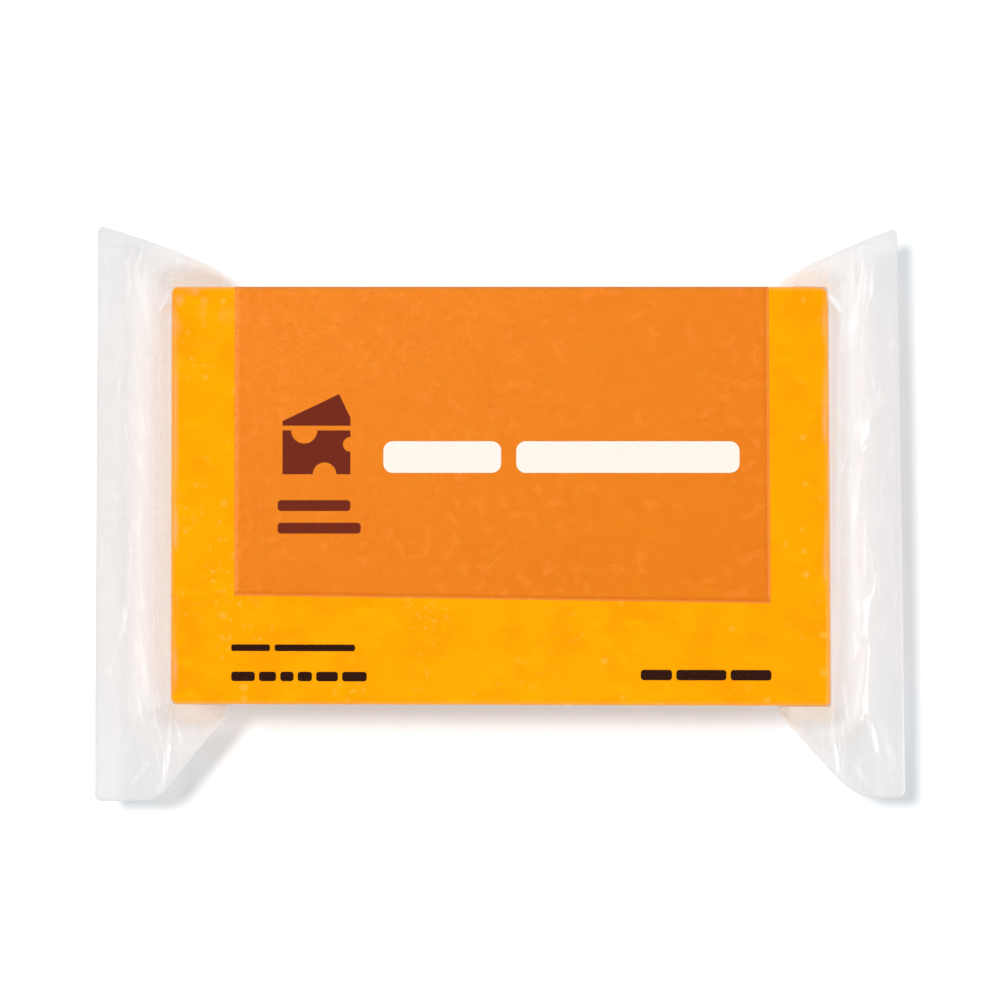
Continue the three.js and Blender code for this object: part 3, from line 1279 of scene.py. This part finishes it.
@dataclass(frozen=True)
class PrintPanel:
    """Field of see-through ink on the shown face, folded over the far edge and on to the underside."""

    block: BlockForm
    finish: PanelFinish = PanelFinish()
    left: float = -56.4
    right: float = 57.2
    near_left: float = -21.2
    near_right: float = -22.7
    underside_run: float = 24.0
    columns: int = 90
    top_rows: int = 40
    straight_rows: int = 12
    bend_steps: int = 9

    def build(self) -> Piece:
        """Makes the field as a thin slab: the pack's section over the far side, carried along X.

        Returns:
            The panel piece.
        """
        outer = self.surface(PANEL_DEPTH)
        inner = self.surface(PANEL_DEPTH + INK_THICKNESS)
        rows, columns = outer.shape[:2]
        points = np.concatenate([outer.reshape(-1, 3), inner.reshape(-1, 3)])
        grid = grid_faces(rows, columns)
        count = rows * columns
        order = np.arange(count).reshape(rows, columns)
        border = np.concatenate([order[0], order[1:, -1], order[-1, -2::-1], order[-2:0:-1, 0]])
        after = np.roll(border, -1)
        rim = np.stack([border, border + count, after + count, after], axis=1)
        faces = np.concatenate([grid, grid[:, ::-1] + count, rim])
        faces = turned_out(points - points.mean(axis=0), faces)
        piece = make_piece("print_panel", self.block.settle(points), faces.tolist(), self.distances(outer))
        finish_piece(piece, self.finish.material())
        return piece

    def distances(self, outer: Array) -> dict[str, Array]:
        """Distances of each point from the field's left, right and near edges, along its surface.

        Args:
            outer: Points of its outer face, by row and column.

        Returns:
            The distances for both faces, by name.
        """
        rows, columns = outer.shape[:2]
        run = np.linspace(0.0, 1.0, columns)[None, :].repeat(rows, axis=0)
        width = self.right - self.left
        step = np.linalg.norm(np.diff(outer, axis=0), axis=2)
        from_near = np.concatenate([np.zeros((1, columns)), np.cumsum(step, axis=0)])
        values = {"from_left": run * width, "from_right": (1 - run) * width, "from_near": from_near}
        return {name: np.tile(value.ravel(), 2) for name, value in values.items()}

    def surface(self, depth: float) -> Array:
        """The panel's face at a depth inside the film.

        Each column follows the pack's section: along the top, round the far edge by a quarter
        circle, down the far side, round again, and in along the underside.

        Args:
            depth: Depth in millimetres.

        Returns:
            Points by row along the section and column along X.
        """
        block = self.block
        low = block.edge_radius
        radius = low - depth
        far, top = block.width / 2 - low, block.height - low
        turn = np.linspace(0.0, QUARTER_TURN, self.bend_steps)
        out, down = radius * np.sin(turn), radius * np.cos(turn)
        side = np.linspace(top, low, self.straight_rows)[1:-1]
        under = np.linspace(far, block.width / 2 - self.underside_run, self.straight_rows)[1:]
        rest_y = np.concatenate([far + out, np.full_like(side, far + radius), far + down, under])
        rest_z = np.concatenate([top + down, side, low - out, np.full_like(under, low - radius)])
        x = np.linspace(self.left, self.right, self.columns)
        start = np.linspace(self.near_left, self.near_right, self.columns)
        share = np.linspace(0.0, 1.0, self.top_rows, endpoint=False)[:, None]
        shown_y = start + share * (far - start)
        y = np.concatenate([shown_y, rest_y[:, None] + np.zeros_like(x)])
        z = np.concatenate([np.full_like(shown_y, top + radius), rest_z[:, None] + np.zeros_like(x)])
        return np.stack([np.broadcast_to(x, y.shape), y, z], axis=-1)


@dataclass(frozen=True)
class BarLine:
    """A line of plain rounded bars on the shown face, from left to right."""

    left: float
    lengths: tuple[float, ...]
    low: float
    high: float
    gap: float = 1.0
    rounding: float = 0.3
    corner_steps: int = 9

    def outlines(self) -> tuple[Array, ...]:
        """Outlines of the bars.

        Returns:
            Points of each outline in millimetres, anticlockwise.
        """
        steps = np.cumsum(np.array(self.lengths) + self.gap)
        starts = self.left + np.concatenate([[0.0], steps[:-1]])
        return tuple(self.bar(start, start + length) for start, length in zip(starts, self.lengths))

    def bar(self, left: float, right: float) -> Array:
        """Outline of one bar, whose corners are quarter circles round centres one radius in.

        Args:
            left: X of its left end.
            right: X of its right end.

        Returns:
            Points of the outline.
        """
        radius = self.rounding * (self.high - self.low)
        turn = np.linspace(0.0, QUARTER_TURN, self.corner_steps)
        middle = np.array([(left + right) / 2, (self.low + self.high) / 2])
        tips = np.array([[right, self.high], [left, self.high], [left, self.low], [right, self.low]])
        corners = []
        for quarter, tip in enumerate(tips):
            centre = tip - radius * np.sign(tip - middle)
            angle = turn + quarter * QUARTER_TURN
            corners.append(centre + radius * np.stack([np.cos(angle), np.sin(angle)], axis=1))
        return np.concatenate(corners)


@dataclass(frozen=True)
class WedgeMark:
    """A plain wedge of cheese: a slanted top over a front with a half-round hole in three sides.

    A hole is given by its place along its side and its radius, as shares of the front's size.
    """

    left: float = -46.2
    right: float = -31.8
    low: float = 4.6
    high: float = 13.9
    gap: float = 1.0
    top_left: float = 1.0
    top_right: float = 1.7
    top_peak: float = 6.7
    peak_inset: float = 2.4
    lower_hole: tuple[float, float] = (0.62, 0.27)
    right_hole: tuple[float, float] = (0.68, 0.17)
    upper_hole: tuple[float, float] = (0.32, 0.30)
    hole_steps: int = 13

    def outlines(self) -> tuple[Array, Array]:
        """Outlines of the wedge's top and front.

        Returns:
            Points of each outline in millimetres, anticlockwise.
        """
        return self.top(), self.front()

    def top(self) -> Array:
        """Outline of the slanted top, five straight sides.

        Returns:
            Points of the outline.
        """
        base = self.high + self.gap
        peak = [self.right - self.peak_inset, base + self.top_peak]
        right_side = [[self.right, base], [self.right, base + self.top_right]]
        return np.array([[self.left, base], *right_side, peak, [self.left, base + self.top_left]])

    def front(self) -> Array:
        """Outline of the front, where each hole is a half circle round a point on its side.

        Returns:
            Points of the outline.
        """
        turn = np.linspace(np.pi, 0.0, self.hole_steps)
        arc = np.stack([np.cos(turn), np.sin(turn)], axis=1)
        turned = arc @ np.array([[0, 1], [-1, 0]])
        length, height = self.right - self.left, self.high - self.low
        (lower_at, lower_radius), (right_at, right_radius) = self.lower_hole, self.right_hole
        upper_at, upper_radius = self.upper_hole
        lower = np.array([self.left + lower_at * length, self.low]) + lower_radius * height * arc
        right = np.array([self.right, self.low + right_at * height]) + right_radius * height * turned
        upper = np.array([self.left + upper_at * length, self.high]) - upper_radius * height * arc
        low_corners = [[self.left, self.low]], [[self.right, self.low]]
        high_corners = [[self.right, self.high]], [[self.left, self.high]]
        sides = [low_corners[0], lower, low_corners[1], right, high_corners[0], upper, high_corners[1]]
        return np.concatenate(sides)


@dataclass(frozen=True)
class PrintMarks:
    """Plain marks of one ink on the shown face: rounded bars and simple shapes."""

    name: str
    block: BlockForm
    finish: InkFinish
    shapes: tuple[BarLine | WedgeMark, ...]

    def build(self) -> Piece:
        """Makes each outline a thin slab just under the film's face, and joins the slabs into one piece.

        Returns:
            The piece with all the marks.
        """
        top = self.block.height - MARK_DEPTH
        points, faces, start = [], [], 0
        for outline in (outline for shape in self.shapes for outline in shape.outlines()):
            count = len(outline)
            ring = np.arange(count)
            after = np.roll(ring, -1)
            upper = np.column_stack([outline, np.full(count, top)])
            lower = np.column_stack([outline, np.full(count, top - INK_THICKNESS)])
            points += [upper, lower]
            sides = np.stack([ring + count, after + count, after, ring], axis=1) + start
            faces += sides.tolist()
            faces.append((ring + start).tolist())
            faces.append((ring[::-1] + count + start).tolist())
            start += 2 * count
        piece = make_piece(self.name, self.block.settle(np.concatenate(points)), faces)
        piece.data.shade_flat()
        finish_piece(piece, self.finish.material())
        return piece


@dataclass(frozen=True)
class Studio:
    """White floor, soft key light from the far left, weak fill without shadow, and a camera overhead."""

    floor_side: float = 8.0
    floor_drop: float = 0.2
    floor_glow: Colour = (0.235, 0.27, 0.295)
    floor_shade: float = 0.62
    key_way: Vector = (-0.27, 0.16, 1.0)
    key_width: float = 10.0
    key_strength: float = 2.48
    fill_way: Vector = (1.0, -0.3, 0.8)
    fill_width: float = 25.0
    fill_strength: float = 1.2
    horizon_rise: float = 0.12
    horizon_glow: float = 1.05
    overhead_rise: float = 0.85
    overhead_glow: float = 0.02
    camera_height: float = 1.1
    sensor_width: float = 36.0
    view_width: float = 212.1
    view_centre: tuple[float, float] = (-0.05, -0.86)
    clear_layers: int = 12

    def build(self, block: BlockForm) -> None:
        """Makes the floor, the lights, the surroundings and the camera.

        Args:
            block: The block that the camera looks down on.
        """
        self.floor()
        key = self.lamp("key", self.key_way, self.key_width, self.key_strength)
        key.visible_glossy = False
        fill = self.lamp("fill", self.fill_way, self.fill_width, self.fill_strength)
        fill.data.use_shadow = False
        self.surroundings()
        self.camera(block)
        scene = bpy.context.scene
        scene.view_settings.view_transform = "Standard"
        scene.cycles.transparent_max_bounces = self.clear_layers
        scene.cycles.use_light_tree = False

    def floor(self) -> None:
        """A level white floor just under the pack, lit a little from within like a light table."""
        half, low = self.floor_side / 2 / MM, -self.floor_drop
        corners = np.array([[-half, -half, low], [half, -half, low], [half, half, low], [-half, half, low]])
        plane = make_piece("floor", corners, [[0, 1, 2, 3]])
        shader = Shader("floor_white")
        shader.set(Base_Color=(*(self.floor_shade,) * 3, 1.0), Roughness=1.0, Specular_IOR_Level=0.0)
        shader.set(Emission_Color=(*self.floor_glow, 1.0), Emission_Strength=1.0)
        plane.data.materials.append(shader.material)

    def lamp(self, name: str, way: Vector, width: float, strength: float) -> bpy.types.Object:
        """A far lamp, which lights the whole floor evenly.

        Args:
            name: Its name.
            way: Direction from the pack to the lamp.
            width: How wide it looks, in degrees.
            strength: Its strength in watts per square metre.

        Returns:
            The lamp.
        """
        data = bpy.data.lights.new(name, "SUN")
        data.angle = np.radians(width)
        data.energy = strength
        light = bpy.data.objects.new(name, data)
        light.location = way
        light.rotation_euler = light.location.to_track_quat("Z", "Y").to_euler()
        bpy.context.scene.collection.objects.link(light)
        return light

    def surroundings(self) -> None:
        """Surroundings that are white near the horizon and dark overhead, so level faces stay clear."""
        world = bpy.data.worlds.new("surroundings")
        bpy.context.scene.world = world
        world.use_nodes = True
        tree = world.node_tree
        where = tree.nodes.new("ShaderNodeTexCoord")
        parts = tree.nodes.new("ShaderNodeSeparateXYZ")
        fade = tree.nodes.new("ShaderNodeMapRange")
        fade.interpolation_type = "SMOOTHSTEP"
        rises = {"From Min": self.horizon_rise, "From Max": self.overhead_rise}
        glows = {"To Min": self.horizon_glow, "To Max": self.overhead_glow}
        for name, value in {**rises, **glows}.items():
            fade.inputs[name].default_value = value
        tree.links.new(where.outputs["Generated"], parts.inputs["Vector"])
        tree.links.new(parts.outputs["Z"], fade.inputs["Value"])
        tree.links.new(fade.outputs["Result"], tree.nodes["Background"].inputs["Strength"])
        tree.nodes["Background"].inputs["Color"].default_value = (1.0, 1.0, 1.0, 1.0)

    def camera(self, block: BlockForm) -> None:
        """A camera that looks straight down, with +Y up in the picture.

        Args:
            block: The block, whose upper face the view's width is measured on.
        """
        lens = bpy.data.cameras.new("camera")
        lens.sensor_width = self.sensor_width
        lens.lens = lens.sensor_width * self.camera_height / (self.view_width * MM)
        camera = bpy.data.objects.new("camera", lens)
        centre_x, centre_y = self.view_centre
        camera.location = (centre_x * MM, centre_y * MM, block.height * MM + self.camera_height)
        bpy.context.scene.collection.objects.link(camera)
        bpy.context.scene.camera = camera


def film_ends(block: BlockForm) -> tuple[FilmEnd, FilmEnd]:
    """The two film ends, with their reach read from their solids.

    Args:
        block: The block that they leave.

    Returns:
        The left and the right end.
    """
    left_low, left_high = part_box("film_end_left")
    right_low, right_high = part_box("film_end_right")
    half_width = block.width / 2
    left = FilmEnd(
        cut_near=-left_low.x / MM,
        cut_slant=0.4,
        far_tip=left_high.y / MM - half_width,
        far_spare=0.3,
        near_reach=-left_low.y / MM - half_width,
        far_power=0.62,
        near_slope=1.262,
        knee_rounding=3.5,
        ear_inset=13.3,
        tip_rounding=1.2,
        haze=0.54,
        root_haze=0.16,
        root_glow_share=0.15,
    )
    right = FilmEnd(
        cut_near=right_high.x / MM,
        cut_slant=1.0,
        far_tip=right_high.y / MM - half_width,
        far_spare=0.4,
        near_reach=-right_low.y / MM - half_width,
        far_power=0.81,
        near_slope=1.116,
        knee_rounding=5.0,
        ear_inset=12.2,
        tip_rounding=1.5,
        haze=0.53,
        # Far above the left end's: the haze whitens the right slope, which lies in the block's shadow, as
        # painted light
        root_haze=0.78,
        root_glow_share=0.05,
    )
    return left, right


def print_marks(block: BlockForm) -> tuple[PrintMarks, ...]:
    """The plain marks: title bars, a wedge with two bars, and lines of small bars.

    Args:
        block: The block they lie on.

    Returns:
        One set of marks for each ink.
    """
    cream = InkFinish("cream_ink", colour=(0.80, 0.745, 0.68), worn=(0.78, 0.70, 0.60))
    brown = InkFinish("brown_ink", colour=(0.14, 0.019, 0.0085), worn=(0.17, 0.026, 0.012))
    black = InkFinish("black_ink", colour=(0.022, 0.006, 0.003), worn=(0.05, 0.012, 0.004))
    title = BarLine(left=-24.8, lengths=(25.0, 47.4), low=4.9, high=11.6, gap=3.2)
    first_bar = BarLine(left=-47.2, lengths=(15.4,), low=-3.2, high=-0.9)
    second_bar = BarLine(left=-47.2, lengths=(17.6,), low=-8.0, high=-5.7)
    upper_left = BarLine(left=-57.0, lengths=(8.2, 17.0), low=-33.0, high=-31.6)
    lengths = (5.0, 3.6, 2.8, 3.0, 4.6, 5.2)
    lower_left = BarLine(left=-57.0, lengths=lengths, low=-39.4, high=-37.4, gap=0.9)
    lower_right = BarLine(left=29.7, lengths=(6.6, 10.6, 8.6), low=-39.0, high=-36.8, gap=0.9)
    return (
        PrintMarks("print_title", block, cream, (title,)),
        PrintMarks("print_emblem", block, brown, (WedgeMark(), first_bar, second_bar)),
        PrintMarks("print_small", block, black, (upper_left, lower_left, lower_right)),
    )


def main() -> None:
    """Builds the studio, then each piece of the pack in order, and reports it."""
    logging.basicConfig(level=logging.INFO, format="%(name)s: %(message)s")
    block = BlockForm.from_frame()
    Studio().build(block)
    left, right = film_ends(block)
    parts = (Cheddar(block), FilmWrap(block, left, right), PrintPanel(block), *print_marks(block))
    for part in parts:
        piece = part.build()
        log.info("%s: %d faces", piece.name, len(piece.data.polygons))


if __name__ == "__main__":
    main()
